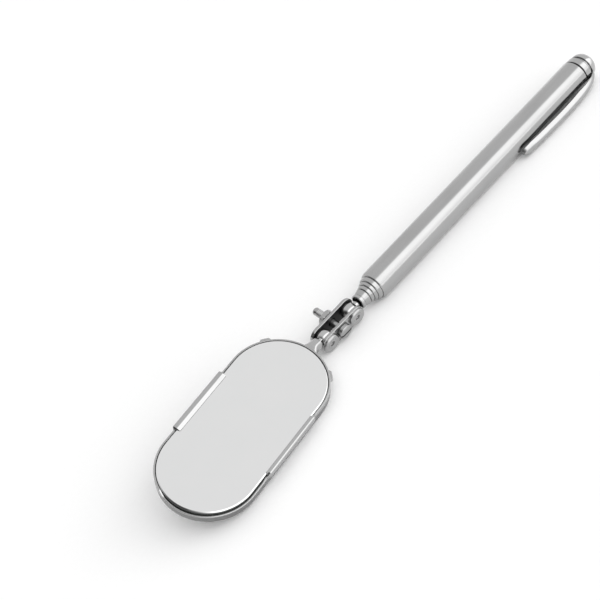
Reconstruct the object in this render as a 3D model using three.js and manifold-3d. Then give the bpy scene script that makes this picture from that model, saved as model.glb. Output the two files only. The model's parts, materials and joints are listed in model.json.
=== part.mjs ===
// Telescoping inspection mirror: a pen-sized handle of nested steel tubes, a clamped double ball
// joint and an oval glass mirror held in a pressed tray.
// Units are millimetres. The tool is drawn along local X with the handle's open mouth at x = 0,
// the pocket clip end towards +X and the mirror towards -X, and is then laid on its resting side.

import * as THREE from 'three';
import { mergeVertices } from 'three/addons/utils/BufferGeometryUtils.js';
import Module from 'manifold-3d';

const wasm = await Module();
wasm.setup();

// ---------------------------------------------------------------- driving dimensions

// handle and telescopic sections
const handleDiameter = 7.6;
const handleLength = 81.4;
const tubeWall = 0.25;
const handleRoom = 0.325;          // radial room between the handle's bore and section 2
const sectionRoom = 0.175;         // radial room between each section's bore and the next section
const mouthClearance = 0.04;       // radial running clearance in each rolled-in mouth
const handleMouthLength = 1.5;
const sectionMouthLength = 0.5;
const sectionStickOut = [1.2, 0.9, 1.0, 0.1];   // how far sections 2 to 5 stand out of the one around them
const rearGap = 4.9;               // from the rear end of section 2 to the rear end of the handle
const rearStep = 1.0;              // each further section ends this much sooner
const bushLength = 3.0;
const springLength = 4.0;
const slipFit = 0.03;              // radial gap of fitted pieces on a tube
const springSplitDeg = 40;

// end cap, collar and pocket clip
const washerLength = 0.4;
const washerDiameter = 7.0;
const collarLength = 1.95;
const collarDiameter = 7.4;
const clipRingLength = 0.45;
const clipRingDiameter = 6.2;
const domeDiameter = 6.9;
const domeHeight = 2.9;
const domeCylinder = 0.25;
const plugDiameter = 4.0;
const plugDepth = 4.2;             // how far the cap's plug reaches into the handle
const stackGap = 0.06;             // axial gap between the pieces stacked on the plug
const clipReach = 31.1;            // from the clip's root to its free end
const clipWidth = 2.7;
const clipSheet = 0.4;
const clipDepth = 1.45;            // from the clip's crown to the edges of its side walls
const clipShoulder = 0.5;          // height of the section's rounded shoulders
const clipCrown = 6.35;            // largest distance of the clip's crown from the handle's axis
const clipRootGap = 0.3;
const clipBend = 3.4;              // how soon the clip swells out from its ring

// tip ferrule and shaft ball
const ferruleBaseDiameter = 4.5;
const ferruleTipDiameter = 3.8;
const ferruleLength = 1.45;
const ferruleSpigot = 4.0;
const ringLength = 0.85;
const ringRecess = 0.45;
const ringWall = 0.35;
const seatGap = 0.06;              // gap between the ferrule's stacked pieces
const ballDiameter = 4.3;
const pinDiameter = 1.9;
const pinHeadDiameter = 2.4;
const shaftBallX = -8.7;

// clamp link
const ballSpacing = 8.8;
const plateThickness = 0.75;
const plateGap = 2.8;              // between the two plates
const plateEndRadius = 2.55;
const leftPlateWaist = 2.25;       // half width between the ball sockets
const rightPlateWaist = 2.5;
const rightCup = { diameter: 4.6, height: 0.75 };
const leftCup = { diameter: 3.4, height: 0.35 };
const cupHoleDiameter = 1.3;
const ballClearance = 0.07;
const screwDiameter = 2.0;
const screwClearance = 0.12;
const screwOffset = 0.15;          // the screw sits this much nearer to the mirror ball
const screwTipReach = 7.2;         // from the link's middle plane to the screw's rounded tip
const screwHeadDiameter = 3.7;
const screwHeadHeight = 1.35;
const slotWidth = 0.5;
const slotDepth = 0.6;
const nutAcrossFlats = 4.0;
const nutThickness = 1.2;
const lockWasherThickness = 0.3;
const hardwareGap = 0.05;

// mirror, tray and stem
const glassWidth = 23.1;
const glassLength = 49.5;
const glassThickness = 1.8;
const glassBevel = 0.35;
const backingThickness = 0.9;
const trayGap = 0.15;              // around the glass
const trayWall = 0.4;
const trayFloor = 0.4;
const trayBottomRadius = 0.3;
const layerGap = 0.1;              // between tray floor, backing card and glass
const leftFlange = { from: -9.75, to: 8.9, reach: 2.1 };     // reach is inwards from the flange's outer face
const rightFlange = { from: -8.1, to: 10.4, reach: 1.3 };
const flangeThickness = 0.35;
const flangeLift = 0.1;
const flangeBulge = 0.55;          // flange's outer face beyond the tray's wall
const rimDrop = 0.15;              // rim below the glass face where there is no flange
const lowRim = { drop: 1.0, from: 14.1, angleDeg: 43 };      // lower rim round the outer end
const lugAngleDeg = 47;
const lugSpanDeg = 13;
const lugReach = 0.55;
const glassEndReach = 7.08;          // from the mirror ball's centre to the near end of the glass
const glassLift = 4.27;            // glass face above the mirror ball's centre
const glassAside = 0.55;           // glass to the left of the stem
const neckStart = 3.1;             // from the mirror ball's centre to the neck's open end
const neckDiameter = 3.1;
const neckFlare = 5.2;
const neckHeight = 2.2;            // height of the neck's root above the ball's centre
const shankDepth = 3.0;            // how far the stem reaches into the neck

// pose of the jointed parts at rest, in degrees
const linkYaw = -2.2;
const linkPitch = -4.8;
const linkRoll = -6;
const mirrorYaw = 6.9;
const mirrorPitch = 5.2;
const toolRoll = 25;               // the tool lies on its handle, its clip and the mirror's rim

// facets round each turned piece
const tubeFacets = 28;
const smallFacets = 20;

// ---------------------------------------------------------------- derived sizes

const rad = THREE.MathUtils.degToRad;
const handleRadius = handleDiameter / 2;
const plugRadius = plugDiameter / 2;
const ballRadius = ballDiameter / 2;
const pinRadius = pinDiameter / 2;
const glassRadius = glassWidth / 2;
const mirrorReach = glassEndReach + glassLength / 2;
const glassStraight = (glassLength - glassWidth) / 2;
const trayInner = glassRadius + trayGap;
const trayOuter = trayInner + trayWall;
const trayDepth = glassThickness + backingThickness + 2 * layerGap + trayFloor;

const ferruleX = -sectionStickOut.reduce((sum, step) => sum + step, 0);
const ringX = ferruleX - ferruleLength - seatGap;
const ringFaceX = ringX - ringLength;

function sectionSizes() {
  // outer radius, bore radius, front and rear of each tube, the handle first
  const tubes = [{ outer: handleRadius, front: 0, rear: handleLength }];
  sectionStickOut.forEach((step, index) => {
    const around = tubes[index];
    const room = index === 0 ? handleRoom : sectionRoom;
    tubes.push({
      outer: around.outer - tubeWall - room,
      front: around.front - step,
      rear: handleLength - rearGap - index * rearStep,
    });
  });
  tubes.forEach((tube) => { tube.bore = tube.outer - tubeWall; });
  return tubes;
}
const tubes = sectionSizes();
const lastTube = tubes[tubes.length - 1];

// ---------------------------------------------------------------- materials

const finish = (color, roughness, metalness) => new THREE.MeshStandardMaterial({ color, roughness, metalness });
const brushedSteel = finish(0xb4b2b3, 0.32, 1);
const chromeSteel = finish(0xcfcfd0, 0.18, 1);
const blackenedSteel = finish(0x2a2a2c, 0.45, 0.9);
const platedSteel = finish(0xa6a5a5, 0.3, 1);
const bronze = finish(0xa9824b, 0.4, 1);
const brass = finish(0xb89a52, 0.35, 1);
const silvered = finish(0xdedede, 0.05, 1);
const card = finish(0x3a3836, 0.9, 0);

// ---------------------------------------------------------------- solid helpers

function closed(geometry) {
  // shared vertices merged and zero-area triangles dropped, position only
  const bare = geometry.clone();
  bare.deleteAttribute('normal');
  bare.deleteAttribute('uv');
  const merged = mergeVertices(bare, 1e-5);
  const index = merged.getIndex().array;
  const kept = [];
  for (let i = 0; i < index.length; i += 3) {
    const [a, b, c] = [index[i], index[i + 1], index[i + 2]];
    if (a !== b && b !== c && c !== a) {
      kept.push(a, b, c);
    }
  }
  merged.setIndex(kept);
  return merged;
}

function toSolid(geometry) {
  const merged = closed(geometry);
  return new wasm.Manifold(new wasm.Mesh({
    numProp: 3,
    vertProperties: new Float32Array(merged.getAttribute('position').array),
    triVerts: new Uint32Array(merged.getIndex().array),
  }));
}

function toGeometry(solid) {
  const mesh = solid.getMesh();
  const geometry = new THREE.BufferGeometry();
  geometry.setAttribute('position', new THREE.BufferAttribute(new Float32Array(mesh.vertProperties), 3));
  geometry.setIndex(Array.from(mesh.triVerts));
  return geometry;
}

function cut(geometry, ...tools) {
  return toGeometry(tools.reduce((solid, tool) => solid.subtract(toSolid(tool)), toSolid(geometry)));
}

function join(geometry, ...others) {
  return toGeometry(others.reduce((solid, other) => solid.add(toSolid(other)), toSolid(geometry)));
}

function turned(profile, facets = smallFacets) {
  // profile is a list of [x, radius] with the material to its left; turned about X
  const points = profile.map(([x, radius]) => new THREE.Vector2(radius, x));
  return closed(new THREE.LatheGeometry(points, facets).rotateZ(-Math.PI / 2));
}

function rod(fromX, toX, radius, facets = smallFacets) {
  return turned([[fromX, 0], [fromX, radius], [toX, radius], [toX, 0]], facets);
}

function ring(fromX, toX, inner, outer, facets = smallFacets) {
  const loop = [[fromX, inner], [fromX, outer], [toX, outer], [toX, inner], [fromX, inner]];
  return turned(loop, facets);
}

function piece(name, geometry, material) {
  const mesh = new THREE.Mesh(geometry, material.clone());
  mesh.name = name;
  return mesh;
}

// ---------------------------------------------------------------- handle and sections

function tubeSolid(tube, inside, mouthLength) {
  // a drawn tube whose mouth is rolled in to guide the section inside it
  const mouthBore = inside ? inside.outer + mouthClearance : tube.bore;
  const mouthOuter = mouthBore + tubeWall;
  const land = mouthLength * 0.4;
  return turned([
    [tube.front, mouthBore],
    [tube.front, mouthOuter],
    [tube.front + land, mouthOuter + (tube.outer - mouthOuter) * 0.6],
    [tube.front + mouthLength, tube.outer],
    [tube.rear, tube.outer],
    [tube.rear, tube.bore],
    [tube.front + mouthLength, tube.bore],
    [tube.front + land, mouthBore],
    [tube.front, mouthBore],
  ], tubeFacets);
}

function splitSleeve(fromX, toX, inner, outer) {
  // a sleeve open along one side, so that it can spring outwards in the bore
  const opening = rad(springSplitDeg);
  const shape = new THREE.Shape();
  shape.absarc(0, 0, outer, opening / 2, 2 * Math.PI - opening / 2, false);
  shape.absarc(0, 0, inner, 2 * Math.PI - opening / 2, opening / 2, true);
  shape.closePath();
  const sleeve = new THREE.ExtrudeGeometry(shape, { depth: toX - fromX, bevelEnabled: false, curveSegments: 14 });
  return closed(sleeve.rotateY(Math.PI / 2).translate(fromX, 0, 0));
}

function makeSections() {
  const pieces = [];
  tubes.forEach((tube, index) => {
    const mouthLength = index === 0 ? handleMouthLength : sectionMouthLength;
    const name = index === 0 ? 'handle_tube' : `section_tube_${index + 1}`;
    pieces.push(piece(name, tubeSolid(tube, tubes[index + 1], mouthLength), brushedSteel));
    if (index === 0) {
      return;
    }
    const bore = tubes[index - 1].bore;
    const inner = tube.outer + slipFit;
    const outer = bore - slipFit;
    const bushFront = tube.rear - bushLength;
    const bush = ring(bushFront, tube.rear, inner, outer, tubeFacets);
    const spring = splitSleeve(bushFront - springLength, bushFront - slipFit, inner + slipFit, outer - slipFit);
    pieces.push(piece(`stop_bush_${index + 1}`, bush, brass));
    pieces.push(piece(`friction_spring_${index + 1}`, spring, bronze));
  });
  return pieces;
}

// ---------------------------------------------------------------- end cap, collar and clip

const washerX = handleLength + stackGap;
const collarX = washerX + washerLength + stackGap;
const clipRingX = collarX + collarLength + stackGap;
const domeX = clipRingX + clipRingLength + stackGap;

function endCap() {
  const domeRadius = domeDiameter / 2;
  const profile = [[handleLength - plugDepth, 0], [handleLength - plugDepth, plugRadius - 0.3]];
  profile.push([handleLength - plugDepth + 0.3, plugRadius], [domeX, plugRadius], [domeX, domeRadius]);
  const steps = 5;
  for (let i = 0; i <= steps; i += 1) {
    const angle = (i / steps) * (Math.PI / 2);
    const x = domeX + domeCylinder + (domeHeight - domeCylinder) * Math.sin(angle);
    profile.push([x, i === steps ? 0 : domeRadius * Math.cos(angle) ** 0.8]);
  }
  return turned(profile, tubeFacets);
}

function plugSleeve() {
  // the bush that centres the cap's plug in the handle's bore
  const inner = plugRadius + slipFit;
  const outer = tubes[0].bore - slipFit;
  return ring(handleLength - plugDepth + 0.5, handleLength - 0.1, inner, outer, tubeFacets);
}

function clipRing() {
  // the washer end of the clip
  return ring(clipRingX, clipRingX + clipRingLength, plugRadius + slipFit, clipRingDiameter / 2, tubeFacets);
}

function clipCrownRadius(along) {
  // distance of the clip's crown from the handle's axis, along from its root
  const rootCrown = clipRingDiameter / 2 + clipRootGap + clipShoulder + 0.1;
  const swell = (clipCrown - rootCrown) * (1 - Math.exp(-along / clipBend));
  const fall = Math.max(along / clipReach - 0.44, 0) / 0.56;
  const nose = Math.max(along / clipReach - 0.93, 0) / 0.07;
  return rootCrown + swell - 0.6 * fall ** 1.5 - 0.5 * nose ** 2;
}

function clipHalfWidth(along) {
  const reach = along / clipReach;
  const paddle = Math.exp(-(((reach - 0.93) / 0.055) ** 2));
  const nose = Math.max(reach - 0.955, 0) / 0.045;
  const root = 0.86 + 0.14 * Math.min(reach / 0.12, 1);
  const roundNose = Math.sqrt(Math.max(1 - 0.8 * nose ** 2, 0.05));
  return (clipWidth / 2) * root * (1 - 0.12 * reach + 0.24 * paddle) * roundNose;
}

function clipDepthAt(drawnDepth, along) {
  // the crown keeps its sheet thickness, and the side walls run out at the root and at the nose
  const root = Math.min(0.1 + along / (2.5 * clipBend), 1);
  const nose = Math.max(along / clipReach - 0.88, 0) / 0.12;
  const wall = Math.max(drawnDepth - clipShoulder, 0);
  return Math.min(drawnDepth, clipShoulder) + wall * root * (1 - 0.35 * nose);
}

function clipSection() {
  const half = clipWidth / 2;
  const inner = half - clipSheet;
  const outline = new THREE.Shape();
  outline.moveTo(-half, -clipDepth);
  outline.lineTo(-half, -clipShoulder);
  outline.quadraticCurveTo(-half, 0, 0, 0);
  outline.quadraticCurveTo(half, 0, half, -clipShoulder);
  outline.lineTo(half, -clipDepth);
  outline.lineTo(inner, -clipDepth);
  outline.lineTo(inner, -clipShoulder);
  outline.quadraticCurveTo(inner, -clipSheet, 0, -clipSheet);
  outline.quadraticCurveTo(-inner, -clipSheet, -inner, -clipShoulder);
  outline.lineTo(-inner, -clipDepth);
  outline.closePath();
  return outline;
}

function pocketClip() {
  // a channel drawn straight, then bowed along the handle and narrowed to its section at each point
  const options = { depth: 1, steps: 20, bevelEnabled: false, curveSegments: 3 };
  const arm = new THREE.ExtrudeGeometry(clipSection(), options);
  const position = arm.getAttribute('position');
  const rootX = clipRingX + clipRingLength;
  for (let i = 0; i < position.count; i += 1) {
    const along = clipReach * position.getZ(i) ** 1.35;
    const depth = clipDepthAt(-position.getY(i), along);
    const width = -position.getX(i) * (clipHalfWidth(along) / (clipWidth / 2));
    position.setXYZ(i, rootX - along, depth - clipCrownRadius(along), width);
  }
  return closed(arm);
}

function makeHandleEnd() {
  const washer = ring(washerX, washerX + washerLength, plugRadius + slipFit, washerDiameter / 2, tubeFacets);
  const collar = ring(collarX, collarX + collarLength, plugRadius + slipFit, collarDiameter / 2, tubeFacets);
  return [
    piece('end_cap', endCap(), chromeSteel),
    piece('cap_plug_sleeve', plugSleeve(), brass),
    piece('cap_washer', washer, blackenedSteel),
    piece('cap_collar', collar, brushedSteel),
    piece('clip_ring', clipRing(), chromeSteel),
    piece('pocket_clip', pocketClip(), chromeSteel),
  ];
}

// ---------------------------------------------------------------- ferrule and shaft ball

function tipFerrule() {
  const spigot = lastTube.bore - slipFit;
  const front = ferruleX - ferruleLength;
  const bore = pinHeadDiameter / 2 + 0.1;
  return turned([
    [front, pinRadius + slipFit],
    [front, ferruleTipDiameter / 2],
    [ferruleX - 0.1, ferruleBaseDiameter / 2],
    [ferruleX - 0.05, spigot],
    [ferruleX + ferruleSpigot, spigot],
    [ferruleX + ferruleSpigot, bore],
    [ferruleX + 0.6, bore],
    [ferruleX + 0.6, pinRadius + slipFit],
    [front, pinRadius + slipFit],
  ], tubeFacets);
}

function tipRing() {
  const outer = ferruleTipDiameter / 2 + 0.05;
  return turned([
    [ringFaceX, outer - ringWall],
    [ringFaceX, outer - 0.12],
    [ringFaceX + 0.15, outer],
    [ringX, outer],
    [ringX, pinRadius + slipFit],
    [ringFaceX + ringRecess, pinRadius + slipFit],
    [ringFaceX + ringRecess, outer - ringWall],
    [ringFaceX, outer - ringWall],
  ], tubeFacets);
}

function ballProfile(centreX, fromAngle, toAngle, steps) {
  const points = [];
  for (let i = 0; i <= steps; i += 1) {
    const angle = fromAngle + ((toAngle - fromAngle) * i) / steps;
    points.push([centreX - ballRadius * Math.cos(angle), ballRadius * Math.sin(angle)]);
  }
  points[0][1] = fromAngle === 0 ? 0 : points[0][1];
  return points;
}

function shaftBallStud() {
  const neckAngle = Math.PI - Math.asin(pinRadius / ballRadius);
  const headX = ferruleX + 0.7;
  return turned([
    ...ballProfile(shaftBallX, 0, neckAngle, 11),
    [headX, pinRadius],
    [headX, pinHeadDiameter / 2],
    [headX + 0.8, pinHeadDiameter / 2],
    [headX + 0.8, 0],
  ]);
}

// ---------------------------------------------------------------- clamp link (about the shaft ball)

const plateInner = plateGap / 2;
const plateOuter = plateInner + plateThickness;
const screwMiddle = -ballSpacing / 2 - screwOffset;

function acrossLink(fromY, toY, radius, facets = smallFacets) {
  // a cylinder along local Y from fromY to toY
  const cylinder = new THREE.CylinderGeometry(radius, radius, toY - fromY, facets);
  return closed(cylinder.translate(0, (fromY + toY) / 2, 0));
}

function socketCup(side) {
  // a dished boss round a ball socket, tapering to its outer face
  const { diameter, height } = side > 0 ? leftCup : rightCup;
  const radius = diameter / 2;
  const taper = new THREE.CylinderGeometry(radius - 0.4, radius, height, smallFacets);
  const base = new THREE.CylinderGeometry(radius, radius, plateThickness, smallFacets);
  const cup = join(taper.translate(0, plateThickness + height / 2, 0), base.translate(0, plateThickness / 2, 0));
  cup.translate(0, plateInner, 0);
  return side > 0 ? cup : cup.rotateX(Math.PI);
}

function clampPlate(side) {
  const outline = new THREE.Shape();
  const shoulder = Math.asin((side > 0 ? leftPlateWaist : rightPlateWaist) / plateEndRadius);
  outline.absarc(0, 0, plateEndRadius, -Math.PI + shoulder, Math.PI - shoulder, false);
  outline.absarc(-ballSpacing, 0, plateEndRadius, shoulder, 2 * Math.PI - shoulder, false);
  outline.closePath();
  const strip = new THREE.ExtrudeGeometry(outline, { depth: plateThickness, bevelEnabled: false, curveSegments: 14 });
  strip.rotateX(-Math.PI / 2).translate(0, side > 0 ? plateInner : -plateOuter, 0);
  const far = socketCup(side).translate(-ballSpacing, 0, 0);
  const body = join(strip, socketCup(side), far);
  const reach = plateOuter + rightCup.height + 1;
  const tools = [acrossLink(-reach, reach, screwDiameter / 2 + screwClearance).translate(screwMiddle, 0, 0)];
  [0, -ballSpacing].forEach((x) => {
    tools.push(new THREE.SphereGeometry(ballRadius + ballClearance, smallFacets, 12).translate(x, 0, 0));
    tools.push(acrossLink(-reach, reach, cupHoleDiameter / 2, 12).translate(x, 0, 0));
  });
  return cut(body, ...tools);
}

function clampScrew() {
  // head on the -Y side, rounded tip on the +Y side
  const radius = screwDiameter / 2;
  const headTop = -(plateOuter + hardwareGap + screwHeadHeight);
  const headUnder = -(plateOuter + hardwareGap);
  const profile = [
    [headTop, 0],
    [headTop, screwHeadDiameter / 2 - 0.35],
    [headTop + 0.3, screwHeadDiameter / 2],
    [headUnder, screwHeadDiameter / 2],
    [headUnder, radius],
    [screwTipReach - 0.7, radius],
    [screwTipReach - 0.2, radius * 0.75],
    [screwTipReach, radius * 0.3],
    [screwTipReach, 0],
  ];
  const slot = new THREE.BoxGeometry(screwHeadDiameter + 1, slotDepth * 2, slotWidth).translate(0, headTop, 0);
  const blank = turned(profile).rotateZ(Math.PI / 2);
  return cut(blank, slot).translate(screwMiddle, 0, 0);
}

function clampNut() {
  const start = plateOuter + lockWasherThickness + 2 * hardwareGap;
  const corner = nutAcrossFlats / Math.sqrt(3);
  const hexagon = new THREE.CylinderGeometry(corner, corner, nutThickness, 6);
  hexagon.translate(0, start + nutThickness / 2, 0);
  const bore = acrossLink(start - 1, start + nutThickness + 1, screwDiameter / 2 + screwClearance / 2);
  return cut(hexagon, bore).translate(screwMiddle, 0, 0);
}

function lockWasher() {
  const start = plateOuter + hardwareGap;
  const inner = screwDiameter / 2 + screwClearance;
  const disc = ring(start, start + lockWasherThickness, inner, nutAcrossFlats / 2 - 0.1);
  return disc.rotateZ(Math.PI / 2).translate(screwMiddle, 0, 0);
}

function makeLink() {
  const link = new THREE.Group();
  link.position.set(shaftBallX, 0, 0);
  link.rotation.set(rad(linkRoll), rad(linkPitch), rad(linkYaw), 'ZYX');
  link.add(
    piece('clamp_plate_left', clampPlate(1), chromeSteel),
    piece('clamp_plate_right', clampPlate(-1), chromeSteel),
    piece('lock_washer', lockWasher(), platedSteel),
    piece('clamp_nut', clampNut(), platedSteel),
    piece('clamp_screw', clampScrew(), platedSteel),
  );
  return link;
}

// ---------------------------------------------------------------- mirror head (about the mirror ball)

const trayNearX = -mirrorReach + glassStraight + trayOuter;
const neckSlope = Math.atan2(neckHeight, -trayNearX);
const neckLength = Math.hypot(neckHeight, trayNearX);

function stadium(radius) {
  const outline = new THREE.Shape();
  outline.absarc(glassStraight, 0, radius, -Math.PI / 2, Math.PI / 2, false);
  outline.absarc(-glassStraight, 0, radius, Math.PI / 2, 1.5 * Math.PI, false);
  outline.closePath();
  return outline;
}

function slab(outline, bottom, top, bevel = 0, segments = 18) {
  const options = { depth: top - bottom - 2 * bevel, bevelEnabled: bevel > 0, curveSegments: segments };
  Object.assign(options, { bevelThickness: bevel, bevelSize: bevel, bevelOffset: -bevel, bevelSegments: 1 });
  return closed(new THREE.ExtrudeGeometry(outline, options).translate(0, 0, bottom + bevel));
}

function alongStem(geometry) {
  // from the drawing along -X to the stem's slope, rising towards the tray
  return geometry.rotateY(neckSlope);
}

function toTray(geometry) {
  // from the glass's own frame (middle of its face) to the mirror ball's
  return geometry.translate(-mirrorReach, glassAside, glassLift);
}

function sideFlange(side) {
  // the straight part of the rim, raised and folded in over the edge of the glass
  const { from, to, reach } = side > 0 ? leftFlange : rightFlange;
  const outer = trayOuter + flangeBulge;
  const top = flangeLift + flangeThickness;
  const fold = 0.6;
  const foot = -lowRim.drop - 0.8;
  const section = new THREE.Shape();
  section.moveTo(trayInner, foot);
  section.lineTo(trayOuter, foot);
  section.lineTo(outer, foot + flangeBulge);
  section.lineTo(outer, top - fold);
  section.quadraticCurveTo(outer, top, outer - fold, top);
  section.lineTo(outer - reach, top);
  section.lineTo(outer - reach, flangeLift);
  section.lineTo(trayInner, flangeLift);
  section.closePath();
  const bar = new THREE.ExtrudeGeometry(section, { depth: to - from, bevelEnabled: false, curveSegments: 4 });
  bar.rotateX(Math.PI / 2).rotateZ(Math.PI / 2);
  return side > 0 ? bar.translate(from, 0, 0) : bar.rotateZ(Math.PI).translate(to, 0, 0);
}

function edgeLug(side) {
  // a small lug standing out of the rim's near end
  const lug = new THREE.BoxGeometry(lugReach + trayWall, trayOuter * rad(lugSpanDeg), 1.4);
  lug.translate(trayOuter + (lugReach - trayWall) / 2, 0, -0.85);
  return lug.rotateZ(side * rad(lugAngleDeg)).translate(glassStraight, 0, 0);
}

function lowRimCut() {
  // clears the rim's outer end, on the side that the tool leans to, down to the low rim
  const box = new THREE.BoxGeometry(glassLength, 2 * glassLength, 8);
  box.translate(-lowRim.from - glassLength / 2, 0, 4 - lowRim.drop);
  return box.rotateZ(rad(lowRim.angleDeg));
}

function neckBody() {
  const tip = neckDiameter / 2;
  const root = neckFlare / 2;
  return alongStem(turned([
    [-(neckLength + 1.6), 0],
    [-(neckLength + 1.6), root],
    [-(neckLength + 0.2), root * 0.92],
    [-(neckLength - 1.2), tip * 1.12],
    [-(neckStart + 0.25), tip],
    [-neckStart, tip - 0.2],
    [-neckStart, 0],
  ]));
}

function mirrorTray() {
  const cavityFloor = -trayDepth + trayFloor;
  const pan = toTray(slab(stadium(trayOuter), -trayDepth, 1.5, trayBottomRadius));
  const flanges = [1, -1].map((side) => toTray(sideFlange(side)));
  const lugs = [1, -1].map((side) => toTray(edgeLug(side)));
  const above = toTray(slab(stadium(trayOuter + 4), -rimDrop, 4));
  const aboveLowRim = toTray(lowRimCut());
  const below = toTray(slab(stadium(trayOuter + 4), -trayDepth - 5, -trayDepth));
  const cavity = toTray(slab(stadium(trayInner), cavityFloor, 4));
  const bore = alongStem(rod(-(neckStart + shankDepth), 0, pinRadius + 0.06));
  const shell = cut(join(cut(pan, above), neckBody(), ...lugs), above, aboveLowRim, below, cavity, bore);
  return join(shell, ...flanges);
}

function mirrorBallStud() {
  const neckAngle = Math.PI - Math.asin(pinRadius / ballRadius);
  const end = neckStart + shankDepth - 0.3;
  const stud = turned([
    ...ballProfile(0, 0, neckAngle, 11),
    [end - 0.2, pinRadius],
    [end, pinRadius - 0.2],
    [end, 0],
  ]);
  return alongStem(stud.rotateZ(Math.PI));
}

function makeMirrorHead() {
  const head = new THREE.Group();
  const link = new THREE.Euler(rad(linkRoll), rad(linkPitch), rad(linkYaw), 'ZYX');
  const ball = new THREE.Vector3(-ballSpacing, 0, 0).applyEuler(link).add(new THREE.Vector3(shaftBallX, 0, 0));
  head.position.copy(ball);
  head.rotation.set(0, rad(mirrorPitch), rad(mirrorYaw), 'ZYX');
  const cardBottom = -trayDepth + trayFloor + layerGap;
  const backing = slab(stadium(glassRadius), cardBottom, cardBottom + backingThickness);
  const glass = slab(stadium(glassRadius), -glassThickness, 0, glassBevel);
  head.add(
    piece('mirror_ball_stud', mirrorBallStud(), chromeSteel),
    piece('mirror_tray', mirrorTray(), brushedSteel),
    piece('backing_card', toTray(backing), card),
    piece('mirror_glass', toTray(glass), silvered),
  );
  return head;
}

// ---------------------------------------------------------------- assembly

function makeTool() {
  const tool = new THREE.Group();
  tool.add(...makeSections(), ...makeHandleEnd());
  tool.add(piece('tip_ferrule', tipFerrule(), brushedSteel));
  tool.add(piece('tip_ring', tipRing(), chromeSteel));
  tool.add(piece('shaft_ball_stud', shaftBallStud(), chromeSteel));
  tool.add(makeLink(), makeMirrorHead());
  tool.rotation.x = rad(toolRoll);
  return tool;
}

const part = new THREE.Group();
const tool = makeTool();
part.add(tool);
part.updateMatrixWorld(true);

// the origin is the middle of the bottom of the tool's bounding box
const bounds = new THREE.Box3().setFromObject(part, true);
const middle = bounds.getCenter(new THREE.Vector3());
tool.position.set(-middle.x, -middle.y, -bounds.min.z);
part.updateMatrixWorld(true);

export default part;
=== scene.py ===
"""Looks of the telescoping inspection mirror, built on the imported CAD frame.

Every visible piece is rebuilt with fine round sections on the CAD's own places and sizes, and the
inner pieces keep their CAD shapes. Tool frame: millimetres, X along the handle with its open mouth
at x = 0, mirror towards -X, Z up before the tool is rolled by TOOL_ROLL onto its resting side.
"""

import json
import math

import bmesh
import bpy
from mathutils import Euler, Matrix, Vector


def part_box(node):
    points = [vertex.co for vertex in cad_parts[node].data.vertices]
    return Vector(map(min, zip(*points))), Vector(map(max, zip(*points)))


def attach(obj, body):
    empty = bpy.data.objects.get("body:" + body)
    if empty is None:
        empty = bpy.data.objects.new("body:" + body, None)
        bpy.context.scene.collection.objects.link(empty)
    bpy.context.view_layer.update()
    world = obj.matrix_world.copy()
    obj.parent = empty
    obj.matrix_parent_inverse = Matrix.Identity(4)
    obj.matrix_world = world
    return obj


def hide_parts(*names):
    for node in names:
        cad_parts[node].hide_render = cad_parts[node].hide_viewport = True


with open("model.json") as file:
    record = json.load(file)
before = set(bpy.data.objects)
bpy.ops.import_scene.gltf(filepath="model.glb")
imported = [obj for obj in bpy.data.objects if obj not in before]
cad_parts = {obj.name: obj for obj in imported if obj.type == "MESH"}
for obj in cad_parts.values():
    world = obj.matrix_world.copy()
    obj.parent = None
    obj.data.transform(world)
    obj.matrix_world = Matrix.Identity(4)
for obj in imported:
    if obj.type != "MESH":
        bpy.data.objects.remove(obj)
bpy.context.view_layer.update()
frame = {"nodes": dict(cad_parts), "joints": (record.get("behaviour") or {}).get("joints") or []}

MM = 0.001

# ------------------------------------------------------------------ sizes, millimetres

HANDLE_RADIUS = 3.8
HANDLE_LENGTH = 81.4
WALL = 0.25
HANDLE_MOUTH = 1.5
SECTION_MOUTH = 0.5
MOUTH_CLEARANCE = 0.04
LIP_ROUND = 2.3
LIP_LAND = 0.06
SECTION_RADII = (3.225, 2.8, 2.375, 1.95)
SECTION_FRONTS = (-1.2, -2.1, -3.1, -3.2)
SECTION_REARS = (76.5, 75.5, 74.5, 73.5)

PLUG_RADIUS = 2.0
PLUG_HOLE = PLUG_RADIUS + 0.03
PLUG_LENGTH = 4.2
PLUG_CHAMFER = 0.3
WASHER = (81.46, 81.86, 3.5)
COLLAR = (81.92, 83.87, 3.7)
CLIP_RING = (83.93, 84.38, 3.1)
DOME_X = 84.44
DOME_RADIUS = 3.45
DOME_HEIGHT = 2.9
DOME_SKIRT = 0.25
DOME_BLUNTNESS = 0.8

CLIP_REACH = 31.1
CLIP_WIDTH = 2.7
CLIP_SHEET = 0.4
CLIP_LEAN = 0.79
CLIP_DEPTH = 1.45
CLIP_SHOULDER = 0.5
CLIP_ARCH = 2.6
CLIP_CROWN = 6.35
CLIP_ROOT_GAP = 0.3
CLIP_SWELL = 3.4

FERRULE_BASE = 2.25
FERRULE_TIP = 1.9
FERRULE_LENGTH = 1.45
SPIGOT_LENGTH = 4.0
RING_X = -4.71
RING_LENGTH = 0.85
RING_RECESS = 0.45
RING_WALL = 0.35
BALL_RADIUS = 2.15
PIN_RADIUS = 0.95
PIN_HOLE = PIN_RADIUS + 0.03
SHAFT_PIN_END = 7.0
MIRROR_PIN_END = 5.8

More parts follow.
